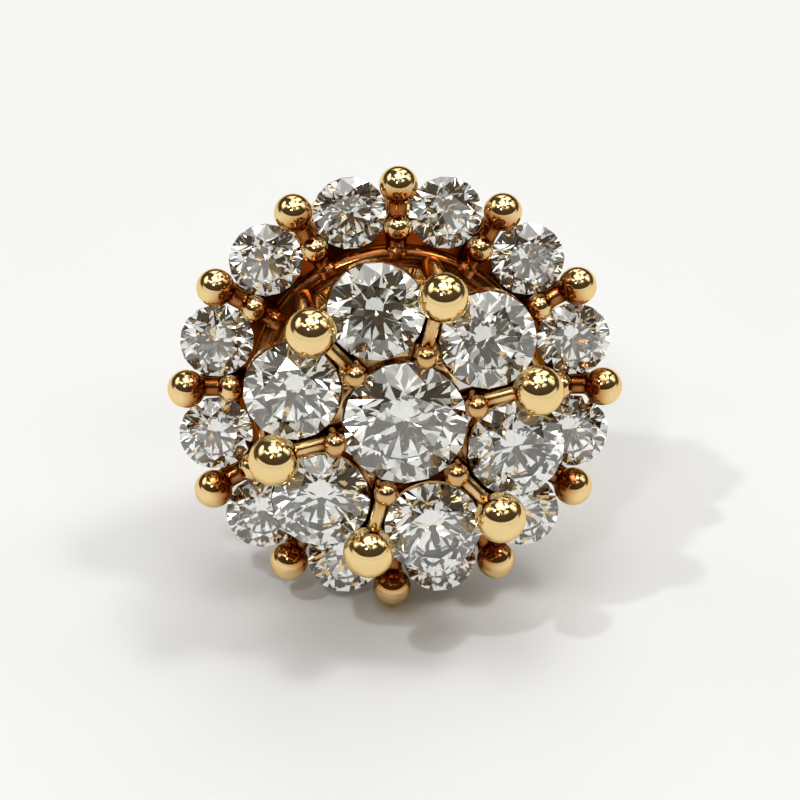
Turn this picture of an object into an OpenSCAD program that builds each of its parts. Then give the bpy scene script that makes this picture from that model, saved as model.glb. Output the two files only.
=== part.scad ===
// Cluster stud earring: a raised flower of seven stones over a halo of twelve, with post and nut.
// It is drawn face up on its post, with the halo balls at height 0, and then stood as it rests:
// leaning back on the lowest halo ball and on the lower curl of the nut, face towards -Y.

/* [Halo] */
// Number of small stones in the halo, and of its ball prongs
halo_count = 12; // [8:1:12]
// Diameter of a small stone
halo_stone_d = 1.46; // [1.2:0.01:1.48]
// Radius of the circle through the small stones
halo_r = 3.65; // [3.65:0.01:3.7]
// Girdle of the small stones below the ball centres
halo_sink = 0.14; // [0.12:0.01:0.2]
// Diameter of an outer ball
outer_ball_d = 0.76; // [0.6:0.01:0.78]
// Radius of the circle through the outer balls
outer_ball_r = 4.12; // [4.12:0.01:4.2]
// Diameter of an inner bead
inner_bead_d = 0.54; // [0.4:0.01:0.55]
// Radius of the circle through the inner beads
inner_bead_r = 3.25; // [3.2:0.01:3.26]
// Thickness of the arm from each outer ball in to the collar
arm_d = 0.38; // [0.3:0.01:0.38]

/* [Flower] */
// Number of stones round the centre stone, and of their ball prongs
flower_count = 6; // [6]
// Diameter of a flower stone
flower_stone_d = 1.92; // [1.8:0.01:1.93]
// Radius of the circle through the flower stones
flower_r = 2.27; // [2.26:0.01:2.3]
// Lean of a flower stone away from the centre, in degrees
flower_tilt = 8; // [0:1:10]
// Height of the flower balls above the halo balls
flower_rise = 2.7; // [2.6:0.05:3]
// Girdle of the flower stones below the flower balls
flower_sink = 0.4; // [0.4:0.01:0.45]
// Diameter of a flower ball
flower_ball_d = 1.0; // [0.8:0.01:1]
// Radius of the circle through the flower balls
flower_ball_r = 2.65; // [2.62:0.01:2.7]
// Turn of the flower against the halo, in degrees
flower_turn = 15; // [0:1:30]
// Diameter of a bead beside the centre stone
heart_bead_d = 0.48; // [0.4:0.01:0.5]
// Radius of the circle through the beads beside the centre stone
heart_bead_r = 1.42; // [1.42:0.01:1.45]

/* [Centre stone] */
// Diameter of the centre stone
centre_stone_d = 2.43; // [2.2:0.01:2.45]
// Girdle of the centre stone below the flower balls
centre_sink = 0.2; // [0.2:0.01:0.3]

/* [Gallery] */
// Radius of the smooth collar inside the halo
collar_r = 2.64; // [2.6:0.01:2.65]
// Thickness of the collar
collar_d = 0.48; // [0.4:0.01:0.5]
// Radius of the ring that lies against the ear
back_ring_r = 2.45; // [2.3:0.05:2.6]
// Depth of the ring against the ear behind the halo balls
back_ring_z = 1.45; // [1.4:0.05:1.8]
// Width of the ring against the ear
back_ring_w = 0.5; // [0.4:0.05:0.6]
// Thickness of the ring against the ear
back_ring_t = 0.42; // [0.4:0.01:0.5]
// Thickness of the wires of the gallery
wire_d = 0.36; // [0.3:0.01:0.4]

/* [Post] */
// Diameter of the post
post_d = 0.8; // [0.7:0.05:1]
// Length of the post behind the ring against the ear
post_l = 9.5; // [9:0.1:9.9]
// Length of the plain end of the post, behind its waist
post_end_l = 3.15; // [2.5:0.05:3.3]
// Diameter of the boss at the root of the post
boss_d = 1.5; // [1.3:0.1:2]

/* [Nut] */
// Depth of the middle of the nut's curls behind the halo balls
nut_z = 6; // [5:0.1:6.5]
// Outer diameter of a curl of the nut
curl_d = 1.9; // [1.7:0.05:2.2]
// Thickness of the nut's sheet
sheet_t = 0.35; // [0.3:0.05:0.45]
// Width of the nut's sheet, along its curls
nut_w = 4; // [3.5:0.1:4.5]
// Height of the nut's plate, across its curls
nut_h = 4.6; // [4:0.1:4.8]

/* [Hidden] */
$fn = 48;
gap = 0.03;

// Proportions of a round brilliant, as parts of its diameter
table_share = 0.57;
crown_share = 0.148;
pavilion_share = 0.432;
girdle_share = 0.03;
star_share = 0.382;
half_share = 0.118;

// Angles of the ball prongs and of the stones, which stand between them
halo_step = 360 / halo_count;
flower_step = 360 / flower_count;

// Heights in the halo: its arms, the collar, and the rail that ties its ribs together
arm_z = -0.15;
collar_z = -0.2;
halo_rail_r = 3.1;
halo_rail_z = -0.99;

// Heights in the flower: stones, thin bars, webs, and the rail that ties its stems together
flower_girdle_z = flower_rise - flower_sink;
centre_girdle_z = flower_rise - centre_sink;
flower_bar_z = flower_rise - 0.3;
flower_web_z = flower_rise - 0.75;
flower_rail_z = flower_rise - 1.35;
flower_rail_r = 2.45;

// Thickness of the bars between the flower stones, of the webs below them and of the bead stems
bar_d = 0.26;
web_d = 0.4;
bead_stem_d = 0.34;

// Seat ring of a stone: how far it stands out past the girdle, its width, and its depths below it
seat_out = 0.01;
seat_w = 0.14;
seat_rim_z = 0.08;
seat_lip_z = 0.2;
seat_foot_z = 0.42;

// Rest: the plane under the lowest ball and the lower curl
curl_y = post_d / 2 + gap + curl_d / 2;
rest_y = outer_ball_r - curl_y;
rest_reach = norm([nut_z, rest_y]);
lean = atan2(rest_y, nut_z) - asin((curl_d - outer_ball_d) / 2 / rest_reach);
lift = outer_ball_r * cos(lean) + outer_ball_d / 2;

// Middle of the part, from its foremost flower ball to the tip of the post
lowest_sine = min([for (i = [0:flower_count - 1]) sin(flower_turn + i * flower_step)]);
front_y = flower_ball_r * lowest_sine * sin(lean) - flower_rise * cos(lean) - flower_ball_d / 2;
end_y = (back_ring_z + post_l) * cos(lean) + post_d / 4 * sin(lean);
middle_y = (front_y + end_y) / 2;

gold = "goldenrod";
clear = "aliceblue";

function numbered(name, count) = [for (i = [1:count]) str(name, "_", i)];

// Stands the upright drawing on its rest plane, over the middle of the part
module stood() {
    translate([0, -middle_y, lift]) rotate([90 - lean, 0, 0]) children();
}

// Copies round the axis, the first at the angle given
module around(count, first) {
    for (i = [0:count - 1]) rotate([0, 0, first + i * 360 / count]) children();
}

// A straight wire between two points of the XZ plane, from one diameter to another
module wire(from, to, d1, d2) {
    run = to - from;
    translate([from.x, 0, from.y])
        rotate([0, atan2(run.x, run.y), 0])
            cylinder(h = norm(run), d1 = d1, d2 = d2);
}

module ball(r, z, d) {
    translate([r, 0, z]) sphere(d = d);
}

module hoop(r, z, d) {
    translate([0, 0, z]) rotate_extrude() translate([r, 0]) circle(d = d);
}

function circle_points(count, first, r, z) =
    [for (i = [0:count - 1]) [r * cos(first + i * 360 / count), r * sin(first + i * 360 / count), z]];

// Height on the straight line from (r1, z1) to (r2, z2), in the middle of a kite whose corner is at r
function kite_z(r, r1, z1, r2, z2) = z1 + (z2 - z1) * (r * cos(22.5) - r1) / (r2 - r1);

// Round brilliant with its table up and its girdle at height 0: an eight-sided table, 8 stars,
// 8 kites and 16 halves on the crown, a 16-sided girdle, and 16 halves and 8 mains below
module brilliant(d) {
    rim = girdle_share / 2;
    top = rim + crown_share;
    culet = -rim - pavilion_share;
    points = concat(
        circle_points(8, 0, table_share / 2, top),
        circle_points(8, 22.5, star_share, kite_z(star_share, table_share / 2, top, 0.5, rim)),
        circle_points(16, 0, 0.5, rim),
        circle_points(16, 0, 0.5, -rim),
        circle_points(8, 22.5, half_share, kite_z(half_share, 0, culet, 0.5, -rim)),
        [[0, 0, culet]]
    );
    star = 8;
    upper = 16;
    lower = 32;
    half = 48;
    tip = 56;
    faces = concat(
        [[for (i = [7:-1:0]) i]],
        [for (i = [0:7]) [i, (i + 1) % 8, star + i]],
        [for (i = [0:7]) [i, star + i, upper + 2 * i, star + (i + 7) % 8]],
        [for (i = [0:7]) [star + i, upper + 2 * i + 1, upper + 2 * i]],
        [for (i = [0:7]) [star + i, upper + (2 * i + 2) % 16, upper + 2 * i + 1]],
        [for (i = [0:15]) [upper + i, upper + (i + 1) % 16, lower + (i + 1) % 16, lower + i]],
        [for (i = [0:7]) [tip, half + (i + 7) % 8, lower + 2 * i, half + i]],
        [for (i = [0:7]) [half + i, lower + 2 * i, lower + 2 * i + 1]],
        [for (i = [0:7]) [half + i, lower + 2 * i + 1, lower + (2 * i + 2) % 16]]
    );
    scale(d) polyhedron(points, faces);
}

// Thin seat ring under the girdle of a stone of diameter d
module seat(d) {
    outside = d / 2 + seat_out;
    inside = outside - seat_w;
    rotate_extrude() polygon([
        [outside, -seat_rim_z],
        [inside, -seat_lip_z],
        [inside, -seat_foot_z],
        [outside, -seat_foot_z]
    ]);
}

module halo_prong() {
    rib_foot = [back_ring_r, -back_ring_z];
    ball(outer_ball_r, 0, outer_ball_d);
    ball(inner_bead_r, 0, inner_bead_d);
    wire([outer_ball_r, arm_z], [collar_r, arm_z], arm_d, arm_d);
    wire(rib_foot, [outer_ball_r, 0], wire_d, wire_d + 0.1);
}

module flower_prong() {
    foot = [back_ring_r, -back_ring_z];
    shoulder = flower_ball_r - 0.05;
    ball(flower_ball_r, flower_rise, flower_ball_d);
    ball(heart_bead_r, flower_rise, heart_bead_d);
    wire(foot, [flower_ball_r, flower_rise], wire_d + 0.06, wire_d + 0.24);
    wire([heart_bead_r, flower_bar_z], [shoulder, flower_bar_z], bar_d, bar_d);
    wire([heart_bead_r - 0.3, flower_web_z], [shoulder, flower_web_z], web_d, web_d);
    wire([heart_bead_r, flower_web_z], [heart_bead_r, flower_rise], bead_stem_d, bead_stem_d);
}

module flower_place() {
    translate([flower_r, 0, flower_girdle_z]) rotate([0, flower_tilt, 0]) children();
}

// Ring against the ear, with spokes in to the boss that carries the post
module back() {
    hub_r = 0.5;
    boss_h = 0.8;
    boss_z = -0.35;
    translate([0, 0, -back_ring_z]) {
        difference() {
            cylinder(r = back_ring_r + back_ring_w / 2, h = back_ring_t, center = true, $fn = 96);
            cylinder(r = back_ring_r - back_ring_w / 2, h = 2 * back_ring_t, center = true, $fn = 96);
        }
        around(flower_count, flower_turn) wire([hub_r, 0], [back_ring_r, 0], wire_d, wire_d);
        translate([0, 0, boss_z]) cylinder(d = boss_d, h = boss_h);
    }
}

// A round post with a shallow waist that the nut slips over, and a blunt tip
module post() {
    r = post_d / 2;
    waist_l = 0.6;
    waist_depth = 0.08;
    tip_l = 0.35;
    end_z = -back_ring_z - post_l;
    waist_z = end_z + post_end_l;
    rotate_extrude() polygon([
        [0, -back_ring_z],
        [r, -back_ring_z],
        [r, waist_z + waist_l],
        [r - waist_depth, waist_z + waist_l / 2],
        [r, waist_z],
        [r, end_z + tip_l],
        [r / 2, end_z],
        [0, end_z]
    ]);
}

module setting() {
    color(gold) stood() union() {
        around(halo_count, 0) halo_prong();
        around(flower_count, flower_turn) flower_prong();
        around(flower_count, flower_turn + flower_step / 2) flower_place() seat(flower_stone_d);
        translate([0, 0, centre_girdle_z]) seat(centre_stone_d);
        hoop(collar_r, collar_z, collar_d);
        hoop(halo_rail_r, halo_rail_z, wire_d);
        hoop(flower_rail_r, flower_rail_z, wire_d - 0.04);
        back();
        post();
    }
}

// One plain piece: a plate with a hole and two curls that close on the post
module ear_nut() {
    plate_z = -nut_z + curl_d / 2 - 0.1;
    end_bulge = 0.8;
    color(gold) stood() difference() {
        union() {
            translate([0, 0, plate_z]) intersection() {
                translate([0, 0, sheet_t / 2]) cube([nut_w, nut_h, sheet_t], center = true);
                cylinder(d = nut_h + end_bulge, h = sheet_t, $fn = 96);
            }
            for (side = [-1, 1]) translate([0, side * curl_y, -nut_z]) rotate([0, 90, 0]) difference() {
                cylinder(d = curl_d, h = nut_w, center = true);
                cylinder(d = curl_d - 2 * sheet_t, h = nut_w + 1, center = true);
            }
        }
        translate([0, 0, plate_z - 1]) cylinder(d = post_d + 2 * gap, h = 2);
    }
}

module centre_stone() {
    color(clear) stood() translate([0, 0, centre_girdle_z]) brilliant(centre_stone_d);
}

module flower_stone(i) {
    color(clear) stood() rotate([0, 0, flower_turn + (i - 0.5) * flower_step])
        flower_place() brilliant(flower_stone_d);
}

module halo_stone(i) {
    color(clear) stood() rotate([0, 0, (i - 0.5) * halo_step])
        translate([halo_r, 0, -halo_sink]) brilliant(halo_stone_d);
}

setting();
ear_nut();
centre_stone();
for (i = [1:flower_count]) flower_stone(i);
for (i = [1:halo_count]) halo_stone(i);
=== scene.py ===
# Cluster stud earring: a polished gold setting, its friction nut and nineteen brilliants on a pale floor
import bpy
import bmesh
import math
from mathutils import Matrix, Vector


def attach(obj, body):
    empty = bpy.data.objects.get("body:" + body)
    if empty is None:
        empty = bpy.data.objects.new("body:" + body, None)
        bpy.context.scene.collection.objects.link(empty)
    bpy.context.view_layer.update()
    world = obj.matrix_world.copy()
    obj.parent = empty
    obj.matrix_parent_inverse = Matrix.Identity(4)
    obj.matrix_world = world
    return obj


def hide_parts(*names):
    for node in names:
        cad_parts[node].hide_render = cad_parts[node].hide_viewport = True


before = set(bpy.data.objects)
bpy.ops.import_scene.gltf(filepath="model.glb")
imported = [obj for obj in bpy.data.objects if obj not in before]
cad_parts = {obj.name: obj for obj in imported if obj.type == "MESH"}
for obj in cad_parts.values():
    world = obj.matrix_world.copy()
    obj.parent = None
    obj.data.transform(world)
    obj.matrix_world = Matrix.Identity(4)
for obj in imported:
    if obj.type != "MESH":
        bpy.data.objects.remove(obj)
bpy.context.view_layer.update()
print("frame loaded")

body = "root"
mm = 0.001

# Mesh helpers, in millimetres and degrees: each piece is drawn face up with the halo balls at
# height 0, as in the solid model, and piece() stands it up
detail = {"weld": 0.00002, "ringSteps": 120, "seatSteps": 72, "bossSteps": 64, "postSteps": 48,
          "wireSides": 32, "hoopSides": 20, "ballDivisions": 4, "barSteps": 40, "roundSteps": 4,
          "skinShare": 0.92, "leastSkin": 0.0001, "sharpAngle": 38, "cornerAngle": 60}


def spread(count, first=0):  # turns evenly round the Z axis
    return [Matrix.Rotation(math.radians(first + i * 360 / count), 4, "Z") for i in range(count)]


def smooth(low, high, x):  # eases from 0 at low to 1 at high
    t = min(max((x - low) / (high - low), 0), 1)
    return t * t * (3 - 2 * t)


def cleaned(shape):
    bmesh.ops.remove_doubles(shape, verts=shape.verts, dist=detail["weld"])
    bmesh.ops.recalc_face_normals(shape, faces=shape.faces)
    return shape


def addCopies(target, shape, places):
    stamp = bpy.data.meshes.new("stamp")
    shape.to_mesh(stamp)
    for place in places:
        stamp.transform(place)
        target.from_mesh(stamp)
        stamp.transform(place.inverted())
    bpy.data.meshes.remove(stamp)
    shape.free()


def addOnce(target, shape):
    addCopies(target, shape, [Matrix()])


def lathe(outline, steps, closed=False):  # turns (radius, height) points round the Z axis
    shape = bmesh.new()
    points = [shape.verts.new((x, 0, z)) for x, z in outline]
    edges = [shape.edges.new(pair) for pair in zip(points, points[1:])]
    if closed:
        edges.append(shape.edges.new((points[-1], points[0])))
    bmesh.ops.spin(shape, geom=points + edges, cent=(0, 0, 0), axis=(0, 0, 1),
                   angle=2 * math.pi, steps=steps, use_merge=True)
    return cleaned(shape)


def rounded(shape, offset):  # softens every sharp corner of a lathed shape
    least = math.radians(detail["cornerAngle"])
    corners = [edge for edge in shape.edges if edge.calc_face_angle(0) > least]
    bmesh.ops.bevel(shape, geom=corners, offset=offset, segments=detail["roundSteps"], profile=0.5,
                    affect="EDGES", material=-1)
    return shape


def hoop(r, z, d):
    sides = detail["hoopSides"]
    angles = [i * 2 * math.pi / sides for i in range(sides)]
    ring = [(r + d / 2 * math.cos(a), z + d / 2 * math.sin(a)) for a in angles]
    return lathe(ring, detail["ringSteps"], closed=True)


def wire(start, end, d1, d2):  # tapered round wire between two points of the XZ plane
    start, end = Vector((start[0], 0, start[1])), Vector((end[0], 0, end[1]))
    run = end - start
    place = Matrix.Translation((start + end) / 2) @ run.to_track_quat("Z", "Y").to_matrix().to_4x4()
    shape = bmesh.new()
    bmesh.ops.create_cone(shape, cap_ends=True, segments=detail["wireSides"], radius1=d1 / 2,
                          radius2=d2 / 2, depth=run.length)
    bmesh.ops.transform(shape, matrix=place, verts=shape.verts)
    return shape


def ball(r, z, d):
    shape = bmesh.new()
    bmesh.ops.create_icosphere(shape, subdivisions=detail["ballDivisions"], radius=d / 2,
                               matrix=Matrix.Translation((r, 0, z)))
    return shape


def bar(outer, inner, z, d, flare):
    # round bar along X between two balls, each given as (place, diameter), flared where it meets them
    def skin(place, diameter):  # how far the ball reaches at the bar's height, less a little
        return math.sqrt(max(diameter ** 2 / 4 - z ** 2, detail["leastSkin"])) * detail["skinShare"]

    steps = detail["barSteps"]
    high, low = outer[0] - skin(*outer), inner[0] + skin(*inner)
    outline = [(0, outer[0])]
    for i in range(steps + 1):
        x = outer[0] + (inner[0] - outer[0]) * i / steps
        growth = max(smooth(high - flare * 2, high + flare, x), smooth(low + flare * 2, low - flare, x))
        outline.append((d / 2 + flare * growth ** 2, x))
    outline.append((0, inner[0]))
    shape = lathe(outline, detail["wireSides"])
    bmesh.ops.rotate(shape, cent=(0, 0, 0), matrix=Matrix.Rotation(math.pi / 2, 3, "Y"),
                     verts=shape.verts)
    bmesh.ops.translate(shape, vec=(0, 0, z), verts=shape.verts)
    return shape


def markInner(shape, rings):  # 0 on the outer side of each ball, 1 on the side towards the middle; the gold paints shade by this mark
    mark = shape.verts.layers.float.new("inner")
    for point in shape.verts:
        r = math.hypot(point.co.x, point.co.y)
        ringR, d = min(rings, key=lambda ring: abs(ring[0] - r))
        point[mark] = min(max(0.5 + (ringR - r) / d, 0), 1)


def piece(name, shape, node):
    bmesh.ops.transform(shape, matrix=standing, verts=shape.verts)
    for face in shape.faces:
        face.smooth = True
    mesh = bpy.data.meshes.new(name)
    shape.to_mesh(mesh)
    shape.free()
    mesh.set_sharp_from_angle(angle=math.radians(detail["sharpAngle"]))
    made = bpy.data.objects.new(name, mesh)
    bpy.context.scene.collection.objects.link(made)
    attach(made, body)
    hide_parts(node)
    return made


# Halo: twelve ball prongs, each with its bead, arm and rib, on the collar
halo = {"count": 12, "ballD": 0.76, "ballR": 4.12, "beadD": 0.54, "beadR": 3.25,
        "armD": 0.38, "armZ": -0.15, "armFlare": 0.05, "ribTaper": 0.1,
        "collarR": 2.64, "collarD": 0.48, "collarZ": -0.2,
        "railR": 3.1, "railZ": -0.99, "bandT": 0.2}


def makeHalo():
    balls, arms = bmesh.new(), bmesh.new()
    places = spread(halo["count"])
    outer, inner = (halo["ballR"], halo["ballD"]), (halo["beadR"], halo["beadD"])
    collar = (halo["collarR"], halo["collarD"])
    for r, d in (outer, inner):
        addCopies(balls, ball(r, 0, d), places)
    # Painted shade on the balls' inner sides follows this mark
    markInner(balls, (outer, inner))
    for start, end in ((outer, inner), (inner, collar)):
        addCopies(arms, bar(start, end, halo["armZ"], halo["armD"], halo["armFlare"]), places)
    rib = wire((back["r"], -back["z"]), (halo["ballR"], 0), back["wireD"],
               back["wireD"] + halo["ribTaper"])
    addCopies(arms, rib, places)
    addOnce(arms, hoop(halo["collarR"], halo["collarZ"], halo["collarD"]))
    addOnce(arms, hoop(halo["railR"], halo["railZ"], back["wireD"]))
    half = halo["bandT"] / 2
    band = [(halo["collarR"] - half, halo["collarZ"]), (halo["railR"] - half, halo["railZ"]),
            (halo["railR"] + half, halo["railZ"]), (halo["collarR"] + half, halo["collarZ"])]
    addOnce(arms, lathe(band, detail["ringSteps"], closed=True))  # closes the cone from collar to rail
    return [piece("haloBalls", balls, "setting"), piece("haloArms", arms, "setting")]


# Flower: six taller prongs with their stems, and the seats under the stones
flower = {"count": 6, "turn": 15, "rise": 2.7, "stoneD": 1.92, "stoneR": 2.27, "stoneTilt": 8,
          "stoneSink": 0.4, "ballD": 1.0, "ballR": 2.65, "beadD": 0.48, "beadR": 1.42,
          "barD": 0.26, "barSink": 0.3, "barFlare": 0.06,
          "webD": 0.4, "webSink": 0.75, "webIn": 0.3, "webOut": 0.05,
          "stemD": 0.34, "prongFoot": 0.06, "prongTop": 0.24,
          "railR": 2.45, "railSink": 1.35, "railThinner": 0.04}
centre = {"stoneD": 2.43, "sink": 0.2}
seat = {"out": 0.01, "width": 0.14, "rimZ": 0.08, "lipZ": 0.2, "footZ": 0.42}


def seatRing(d):
    outside, width = d / 2 + seat["out"], seat["width"]
    return lathe([(outside, -seat["rimZ"]), (outside - width, -seat["lipZ"]),
                  (outside - width, -seat["footZ"]), (outside, -seat["footZ"])],
                 detail["seatSteps"], closed=True)


def makeFlower():
    balls, arms = bmesh.new(), bmesh.new()
    rise = flower["rise"]
    webZ = rise - flower["webSink"]
    places = spread(flower["count"], flower["turn"])
    lifted = [place @ Matrix.Translation((0, 0, rise)) for place in places]
    outer, inner = (flower["ballR"], flower["ballD"]), (flower["beadR"], flower["beadD"])
    addCopies(balls, ball(flower["ballR"], 0, flower["ballD"]), lifted)
    addCopies(arms, ball(flower["beadR"], 0, flower["beadD"]), lifted)
    mark = arms.verts.layers.float.new("inner")  # painted shade: the beads are darkened as much as an inner side
    for point in arms.verts:
        point[mark] = 1
    addCopies(arms, bar(outer, inner, -flower["barSink"], flower["barD"], flower["barFlare"]), lifted)
    prong = wire((back["r"], -back["z"]), (flower["ballR"], rise),
                 back["wireD"] + flower["prongFoot"], back["wireD"] + flower["prongTop"])
    addCopies(arms, prong, places)
    web = wire((flower["beadR"] - flower["webIn"], webZ), (flower["ballR"] - flower["webOut"], webZ),
               flower["webD"], flower["webD"])
    addCopies(arms, web, places)
    stem = wire((flower["beadR"], webZ), (flower["beadR"], rise), flower["stemD"], flower["stemD"])
    addCopies(arms, stem, places)
    addOnce(arms, hoop(flower["railR"], rise - flower["railSink"], back["wireD"] - flower["railThinner"]))
    between = spread(flower["count"], flower["turn"] + 180 / flower["count"])
    stonePlaces = [place @ Matrix.Translation((flower["stoneR"], 0, rise - flower["stoneSink"]))
                   @ Matrix.Rotation(math.radians(flower["stoneTilt"]), 4, "Y") for place in between]
    addCopies(arms, seatRing(flower["stoneD"]), stonePlaces)
    addCopies(arms, seatRing(centre["stoneD"]), [Matrix.Translation((0, 0, rise - centre["sink"]))])
    return [piece("flowerBalls", balls, "setting"), piece("flowerArms", arms, "setting")]


# Back: the ring against the ear, its spokes, the boss and the post
back = {"r": 2.45, "z": 1.45, "width": 0.5, "thickness": 0.42, "ringRound": 0.09, "wireD": 0.36,
        "hubR": 0.5, "bossD": 1.5, "bossH": 0.8, "bossLow": 0.35, "bossRound": 0.12}
post = {"d": 0.8, "length": 9.5, "endLength": 3.15, "waistLength": 0.6, "waistDepth": 0.08,
        "waistSteps": 12, "tipLength": 0.35, "tipSteps": 8}


def makeBack():
    shape = bmesh.new()
    low, high = -back["z"] - back["thickness"] / 2, -back["z"] + back["thickness"] / 2
    inner, outer = back["r"] - back["width"] / 2, back["r"] + back["width"] / 2
    ring = lathe([(inner, low), (outer, low), (outer, high), (inner, high)], detail["ringSteps"],
                 closed=True)
    addOnce(shape, rounded(ring, back["ringRound"]))
    spoke = wire((back["hubR"], -back["z"]), (back["r"], -back["z"]), back["wireD"], back["wireD"])
    addCopies(shape, spoke, spread(flower["count"], flower["turn"]))
    foot, bossR = -back["z"] - back["bossLow"], back["bossD"] / 2
    top = foot + back["bossH"]
    boss = lathe([(0, top), (bossR, top), (bossR, foot), (0, foot)], detail["bossSteps"])
    addOnce(shape, rounded(boss, back["bossRound"]))
    addOnce(shape, lathe(postOutline(), detail["postSteps"]))
    return piece("backGold", shape, "setting")


def postOutline():  # a shallow waist for the nut, and a rounded tip that is flat over half its width
    r, end = post["d"] / 2, -back["z"] - post["length"]
    waist = end + post["endLength"]
    outline = [(0, -back["z"]), (r, -back["z"]), (r, waist + post["waistLength"])]
    for i in range(1, post["waistSteps"]):
        share = i / post["waistSteps"]
        outline.append((r - post["waistDepth"] * math.sin(math.pi * share),
                        waist + post["waistLength"] * (1 - share)))
    outline += [(r, waist), (r, end + post["tipLength"])]
    for i in range(1, post["tipSteps"] + 1):
        share = i / post["tipSteps"]
        outline.append((r / 2 + r / 2 * math.sqrt(1 - share ** 2), end + post["tipLength"] * (1 - share)))
    outline.append((0, end))
    return outline


# Friction nut: one sheet, its plate pierced for the post and its wings curled back onto it
nut = {"z": 6, "curlD": 1.9, "sheet": 0.35, "width": 4, "strips": 4, "plateHalf": 0.7, "plateDrop": 0.1,
       "curlSteps": 60, "curlStep": 5.6, "opens": (-10, 90), "tucks": (-185, -246), "tuck": 0.17,
       "narrowing": 0.44, "narrowFrom": 0.4, "gap": 0.03, "hole": 0.86, "drillDepth": 2,
       "edgeRound": 0.06, "edgeSteps": 3, "edgeAngle": 50}
curlY = post["d"] / 2 + nut["gap"] + nut["curlD"] / 2  # middle of each curl


def nutSheet(plateZ):  # the sheet's middle surface
    shape = bmesh.new()
    curl = nut["curlD"] / 2 - nut["sheet"] / 2
    wing = []
    for i in range(nut["curlSteps"] + 1):
        angle = 90 - i * nut["curlStep"]
        radius = (curl + (plateZ + nut["z"] - curl) * smooth(*nut["opens"], angle)
                  - nut["tuck"] * smooth(*nut["tucks"], angle))
        wing.append((curlY + radius * math.cos(math.radians(angle)),
                     -nut["z"] + radius * math.sin(math.radians(angle))))
    plate = [(-nut["plateHalf"], plateZ), (nut["plateHalf"], plateZ)]
    line = [(-y, z) for y, z in reversed(wing)] + plate + wing
    points = [shape.verts.new((-nut["width"] / 2, y, z)) for y, z in line]
    edges = [shape.edges.new(pair) for pair in zip(points, points[1:])]
    for i in range(nut["strips"]):
        made = bmesh.ops.extrude_edge_only(shape, edges=edges)["geom"]
        moved = {part for part in made if isinstance(part, bmesh.types.BMVert)}
        bmesh.ops.translate(shape, vec=(nut["width"] / nut["strips"], 0, 0), verts=list(moved))
        edges = [edge for edge in shape.edges if set(edge.verts) <= moved]
    for point in shape.verts:  # the wings narrow as they curl
        curled = smooth(curlY * nut["narrowFrom"], curlY + nut["curlD"] / 2, abs(point.co.y))
        point.co.x *= 1 - nut["narrowing"] * curled
    return cleaned(shape)


def makeDrill(plateZ):
    drill = bmesh.new()
    bmesh.ops.create_cone(drill, cap_ends=True, segments=detail["postSteps"], radius1=nut["hole"] / 2,
                          radius2=nut["hole"] / 2, depth=nut["drillDepth"])
    bmesh.ops.translate(drill, vec=(0, 0, plateZ), verts=drill.verts)
    bmesh.ops.transform(drill, matrix=standing, verts=drill.verts)
    mesh = bpy.data.meshes.new("drill")
    drill.to_mesh(mesh)
    drill.free()
    made = bpy.data.objects.new("drill", mesh)
    bpy.context.scene.collection.objects.link(made)
    return made


def makeNut():
    plateZ = -nut["z"] + nut["curlD"] / 2 - nut["plateDrop"] + nut["sheet"] / 2
    made = piece("nutGold", nutSheet(plateZ), "ear_nut")
    drill = makeDrill(plateZ)
    thick = made.modifiers.new("sheet", "SOLIDIFY")
    thick.thickness, thick.offset = nut["sheet"] * mm, 0
    hole = made.modifiers.new("hole", "BOOLEAN")
    hole.object, hole.operation, hole.solver = drill, "DIFFERENCE", "EXACT"
    soften = made.modifiers.new("edges", "BEVEL")
    soften.width, soften.segments = nut["edgeRound"] * mm, nut["edgeSteps"]
    soften.limit_method, soften.angle_limit = "ANGLE", math.radians(nut["edgeAngle"])
    bpy.context.view_layer.update()
    solid = bpy.data.meshes.new_from_object(made.evaluated_get(bpy.context.evaluated_depsgraph_get()))
    made.modifiers.clear()
    made.data = solid
    solid.shade_smooth()
    solid.set_sharp_from_angle(angle=math.radians(detail["sharpAngle"]))
    bpy.data.objects.remove(drill)
    return made


# Rest: it leans back on the lowest halo ball and on the lower curl of the nut
restY = halo["ballR"] - curlY
lean = math.atan2(restY, nut["z"]) - math.asin(
    (nut["curlD"] - halo["ballD"]) / 2 / math.hypot(nut["z"], restY))
lift = halo["ballR"] * math.cos(lean) + halo["ballD"] / 2
lowestSine = min(math.sin(math.radians(flower["turn"] + i * 360 / flower["count"]))
                 for i in range(flower["count"]))
frontY = (flower["ballR"] * lowestSine * math.sin(lean) - flower["rise"] * math.cos(lean)
          - flower["ballD"] / 2)
endY = (back["z"] + post["length"]) * math.cos(lean) + post["d"] / 4 * math.sin(lean)
standing = (Matrix.Translation((0, -(frontY + endY) / 2 * mm, lift * mm))
            @ Matrix.Rotation(math.pi / 2 - lean, 4, "X") @ Matrix.Scale(mm, 4))

goldPieces = [*makeHalo(), *makeFlower(), makeBack(), makeNut()]
stones = [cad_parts[name] for name in sorted(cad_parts) if "stone" in name]
print("gold pieces made:", [len(made.data.polygons) for made in goldPieces])


# Shader maths
class Value:  # a socket that can be summed and multiplied
    def __init__(self, sheet, socket):
        self.sheet, self.socket = sheet, socket

    def maths(self, operation, first, second):
        return self.sheet.make("ShaderNodeMath", {"operation": operation}, {0: first, 1: second})

    def __add__(self, other):
        return self.maths("ADD", self, other)

    def __mul__(self, other):
        return self.maths("MULTIPLY", self, other)

    def __sub__(self, other):
        return self.maths("SUBTRACT", self, other)

    def __rsub__(self, other):
        return self.maths("SUBTRACT", other, self)

    def clamped(self):
        return self.sheet.make("ShaderNodeMath", {"operation": "ADD", "use_clamp": True},
                               {0: self, 1: 0})

    __radd__, __rmul__ = __add__, __mul__


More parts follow.
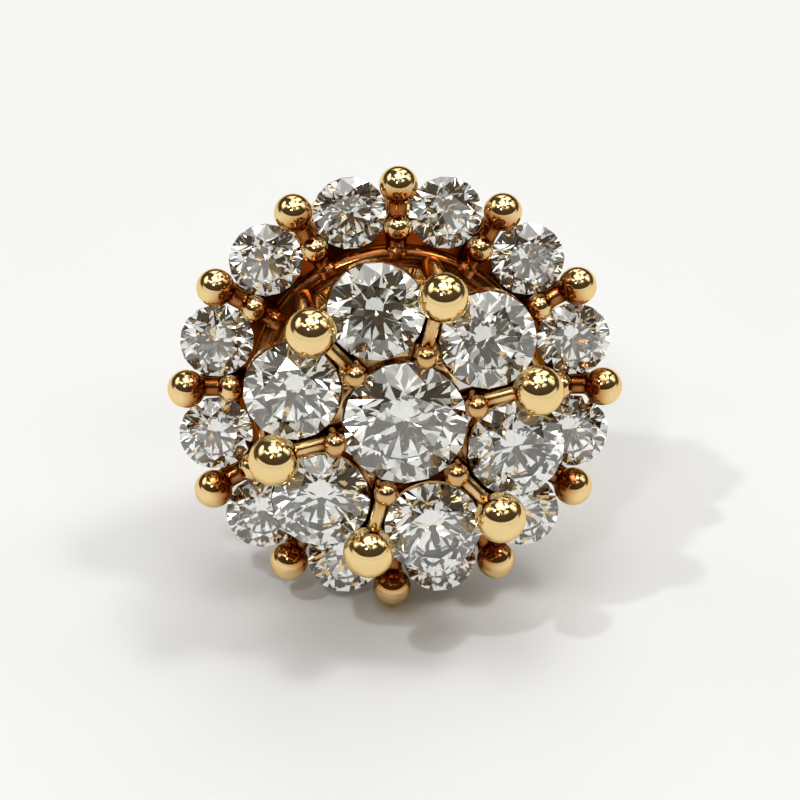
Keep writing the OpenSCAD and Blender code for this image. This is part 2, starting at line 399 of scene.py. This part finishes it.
class Sheet:  # one node tree
    def __init__(self, tree):
        self.tree = tree
        tree.nodes.clear()

    def make(self, kind, settings=None, inputs=None, output=0):
        node = self.tree.nodes.new(kind)
        for key, value in (settings or {}).items():
            if key == "stops":
                ramp = node.color_ramp
                while len(ramp.elements) < len(value):
                    ramp.elements.new(1)
                for element, (position, colour) in zip(ramp.elements, value):
                    element.position, element.color = position, (*colour, 1)
            else:
                setattr(node, key, value)
        for key, value in (inputs or {}).items():
            socket = node.inputs[key]
            if isinstance(value, Value):
                self.tree.links.new(value.socket, socket)
            else:
                socket.default_value = value
        return Value(self, node.outputs[output]) if len(node.outputs) else node

    def mix(self, share, first, second):  # inputs 6 and 7 and output 2 are the Mix node's colours
        first, second = (side if isinstance(side, Value) else (*side, 1) for side in (first, second))
        return self.make("ShaderNodeMix", {"data_type": "RGBA"}, {0: share, 6: first, 7: second}, 2)


def newMaterial(name):
    material = bpy.data.materials.new(name)
    material.use_nodes = True
    return material, Sheet(material.node_tree)


# Polished gold: bright on the open skin, with painted shade of deep red in the crevices, found by ambient
# occlusion, and on the inner sides
grain = {"slowScale": 700, "slowDetail": 2, "fineScale": 5200, "fineDetail": 4, "fineRoughness": 0.6,
         "stain": 0.1, "waveDepth": 0.00003, "openSamples": 8}
# Each look's stops run from the painted shade colour at 0 to the lit gold at the top
ballLook = {"stops": ((0, (0.13, 0.022, 0.004)), (0.45, (0.54, 0.24, 0.075)), (0.9, (0.89, 0.66, 0.32))),
            "roughness": 0.02, "roughnessSpread": 0.10, "waves": 0.05, "crevice": 0.0009,
            "fullShadeBelow": 0.45, "unshadedAbove": 0.95, "innerShade": 1.7,
            "edgeTint": (1, 0.82, 0.55, 1), "alone": True}
# armLook and flowerLook are the same polished gold with darker stops and a wider reach: more painted
# shade for the recessed arms and the flower
armLook = {"stops": ((0, (0.09, 0.012, 0.001)), (0.5, (0.33, 0.095, 0.02)), (1, (0.88, 0.58, 0.23))),
           "roughness": 0.09, "roughnessSpread": 0.14, "waves": 0.10, "crevice": 0.0022,
           "fullShadeBelow": 0.48, "unshadedAbove": 1.0, "innerShade": 0,
           "edgeTint": (1, 0.7, 0.42, 1), "alone": False}
flowerLook = {"stops": ((0, (0.12, 0.028, 0.006)), (0.5, (0.46, 0.19, 0.055)), (1, (0.88, 0.63, 0.30))),
              "roughness": 0.07, "roughnessSpread": 0.12, "waves": 0.08, "crevice": 0.0013,
              "fullShadeBelow": 0.45, "unshadedAbove": 1.0, "innerShade": 0.25,
              "edgeTint": (1, 0.75, 0.5, 1), "alone": True}


def makeGold(name, look):
    material, sheet = newMaterial(name)
    place = sheet.make("ShaderNodeTexCoord", output="Object")
    slow = sheet.make("ShaderNodeTexNoise", {}, {"Vector": place, "Scale": grain["slowScale"],
                                                 "Detail": grain["slowDetail"]})
    fine = sheet.make("ShaderNodeTexNoise", {}, {"Vector": place, "Scale": grain["fineScale"],
                                                 "Detail": grain["fineDetail"],
                                                 "Roughness": grain["fineRoughness"]})
    openness = sheet.make("ShaderNodeAmbientOcclusion",
                          {"samples": grain["openSamples"], "only_local": look["alone"]},
                          {"Distance": look["crevice"]}, "AO")
    inner = sheet.make("ShaderNodeAttribute", {"attribute_name": "inner"}, output="Fac")
    # Painted shade: ambient occlusion and the inner mark darken the base colour; slow noise varies the
    # tone at random
    unshaded = (openness - look["fullShadeBelow"]) * (1 / (look["unshadedAbove"] - look["fullShadeBelow"]))
    unshaded = unshaded - inner * inner * look["innerShade"] - slow * grain["stain"] + grain["stain"] / 2
    colour = sheet.make("ShaderNodeValToRGB", {"stops": look["stops"]}, {"Fac": unshaded.clamped()})
    bump = sheet.make("ShaderNodeBump", {}, {"Strength": look["waves"], "Distance": grain["waveDepth"],
                                             "Height": fine})
    shader = sheet.make("ShaderNodeBsdfPrincipled", {}, {
        "Base Color": colour, "Metallic": 1, "Roughness": fine * look["roughnessSpread"]
        + look["roughness"], "Specular Tint": look["edgeTint"], "Normal": bump})
    sheet.make("ShaderNodeOutputMaterial", {}, {"Surface": shader})
    return material


# Colourless brilliants, faintly tinted from patch to patch
stoneLook = {"ior": 2.417, "patchScale": 2400,
             "stops": ((0.1, (0.94, 0.97, 0.88)), (0.45, (1, 0.99, 0.94)), (0.8, (0.98, 0.97, 0.98)))}


def makeDiamond():
    material, sheet = newMaterial("colourlessDiamond")
    place = sheet.make("ShaderNodeTexCoord", output="Object")
    patches = sheet.make("ShaderNodeTexVoronoi", {}, {"Vector": place, "Scale": stoneLook["patchScale"]})
    tint = sheet.make("ShaderNodeValToRGB", {"stops": stoneLook["stops"]}, {"Fac": patches})
    shader = sheet.make("ShaderNodeBsdfPrincipled", {}, {
        "Base Color": tint, "Roughness": 0, "IOR": stoneLook["ior"], "Transmission Weight": 1})
    sheet.make("ShaderNodeOutputMaterial", {}, {"Surface": shader})
    return material


ballGold, diamond = makeGold("ballGold", ballLook), makeDiamond()
# The arms and the flower take the gold with more painted shade
otherGolds = {"haloArms": makeGold("armGoldShaded", armLook), "flowerArms": makeGold("flowerGoldShaded", flowerLook)}
for made in goldPieces:
    made.data.materials.clear()
    made.data.materials.append(otherGolds.get(made.name, ballGold))
for stone in stones:
    stone.data.materials.clear()
    stone.data.materials.append(diamond)
print("materials made")


# Pale floor
floorLook = {"half": 1.5, "cloudScale": 160, "cloudDetail": 3, "roughness": 0.6,
             "colours": ((0.765, 0.77, 0.775), (0.785, 0.785, 0.785))}


def makeFloor():
    shape = bmesh.new()
    bmesh.ops.create_grid(shape, x_segments=1, y_segments=1, size=floorLook["half"])
    mesh = bpy.data.meshes.new("floor")
    shape.to_mesh(mesh)
    shape.free()
    floor = bpy.data.objects.new("floor", mesh)
    bpy.context.scene.collection.objects.link(floor)
    material, sheet = newMaterial("paleFloor")
    place = sheet.make("ShaderNodeTexCoord", output="Object")
    cloud = sheet.make("ShaderNodeTexNoise", {}, {"Vector": place, "Scale": floorLook["cloudScale"],
                                                  "Detail": floorLook["cloudDetail"]})
    colour = sheet.mix(cloud, *floorLook["colours"])
    shader = sheet.make("ShaderNodeBsdfPrincipled", {}, {"Base Color": colour,
                                                         "Roughness": floorLook["roughness"]})
    sheet.make("ShaderNodeOutputMaterial", {}, {"Surface": shader})
    mesh.materials.append(material)


# Soft lamps, each aimed at the earring
lights = {"key": {"toward": (-0.55, -0.33, 1), "far": 0.5, "size": 0.022, "watts": 0.5,
                  "colour": (0.92, 0.96, 1)},
          "fill": {"toward": (3.8, 0, 9), "far": 0.5, "size": 0.10, "watts": 0.5,
                   "colour": (1, 1, 1)},
          "front": {"toward": (-3, -7, 9), "far": 0.5, "size": 0.05, "watts": 0.3,
                    "colour": (0.97, 0.98, 1)},
          "overhead": {"toward": (-0.5, 0.8, 9), "far": 0.5, "size": 0.2, "watts": 0.29,
                       "colour": (0.98, 0.99, 1)}}


def makeLights():
    for name, values in lights.items():
        lamp = bpy.data.lights.new(name, "AREA")
        lamp.shape, lamp.size = "DISK", values["size"]
        lamp.energy, lamp.color = values["watts"], values["colour"]
        holder = bpy.data.objects.new(name, lamp)
        way = Vector(values["toward"]).normalized()
        holder.location = way * values["far"]
        holder.rotation_euler = way.to_track_quat("Z", "Y").to_euler()
        bpy.context.scene.collection.objects.link(holder)


# Room round the earring: pale paper low in front, a dark gap above it, and a dim room with bright
# patches overhead. The fade values say how fast each part gives way to the next.
room = {"strength": 1.02,
        "stops": ((0, (0.14, 0.10, 0.07)), (0.3, (0.06, 0.045, 0.03)), (1, (0.10, 0.09, 0.07))),
        "side": 0.1, "sideFade": 4, "paperTop": 0.27, "paperFade": 20, "paperGlow": (0.85, 0.86, 0.83),
        "gapTop": 0.85, "gapFade": 8, "patchScale": 2.6, "patchSize": 0.52, "patchFade": 9,
        "patchLow": 0.36, "patchRise": 5, "patchGlow": (2.0, 2.0, 1.92)}


def makeRoom():
    world = bpy.data.worlds.new("studio")
    world.use_nodes = True
    sheet = Sheet(world.node_tree)
    way = sheet.make("ShaderNodeTexCoord", output="Generated")
    height = sheet.make("ShaderNodeSeparateXYZ", {}, {0: way}, "Z")
    front = 0 - sheet.make("ShaderNodeSeparateXYZ", {}, {0: way}, "Y")
    ahead = ((front + room["side"]) * room["sideFade"]).clamped()
    paper = ((room["paperTop"] - height) * room["paperFade"]).clamped() * ahead
    darkGap = ((room["gapTop"] - height) * room["gapFade"]).clamped() * ahead
    walls = sheet.make("ShaderNodeValToRGB", {"stops": room["stops"]}, {"Fac": height})
    spots = sheet.make("ShaderNodeTexVoronoi", {}, {"Vector": way, "Scale": room["patchScale"]})
    patch = ((room["patchSize"] - spots) * room["patchFade"] + 0.5).clamped()
    patch = patch * ((height - room["patchLow"]) * room["patchRise"]).clamped() * (1 - darkGap)
    sky = sheet.mix(patch, sheet.mix(paper, walls, room["paperGlow"]), room["patchGlow"])
    glow = sheet.make("ShaderNodeBackground", {}, {"Color": sky, "Strength": room["strength"]})
    sheet.make("ShaderNodeOutputWorld", {}, {"Surface": glow})
    bpy.context.scene.world = world


# Camera at the photograph's angle; "across" is the width seen at the aim, in metres
view = {"azimuth": -5.6, "elevation": 35.5, "roll": 2.9, "far": 0.14, "aim": (0.0001, -0.0033, 0.0040),
        "across": 0.0158, "sensor": 36, "clip": (0.005, 10)}


def makeCamera():
    a, e = math.radians(view["azimuth"]), math.radians(view["elevation"])
    way = Vector((math.sin(a) * math.cos(e), -math.cos(a) * math.cos(e), math.sin(e)))
    lens = bpy.data.cameras.new("camera")
    lens.sensor_width = view["sensor"]
    lens.lens = view["sensor"] * view["far"] / view["across"]
    lens.clip_start, lens.clip_end = view["clip"]
    camera = bpy.data.objects.new("camera", lens)
    camera.location = Vector(view["aim"]) + way * view["far"]
    camera.rotation_euler = (way.to_track_quat("Z", "Y").to_matrix()
                             @ Matrix.Rotation(math.radians(view["roll"]), 3, "Z")).to_euler()
    bpy.context.scene.collection.objects.link(camera)
    bpy.context.scene.camera = camera


makeFloor()
makeLights()
makeRoom()
makeCamera()
bpy.context.scene.view_settings.view_transform = "Standard"
print("floor, lights, room and camera made")
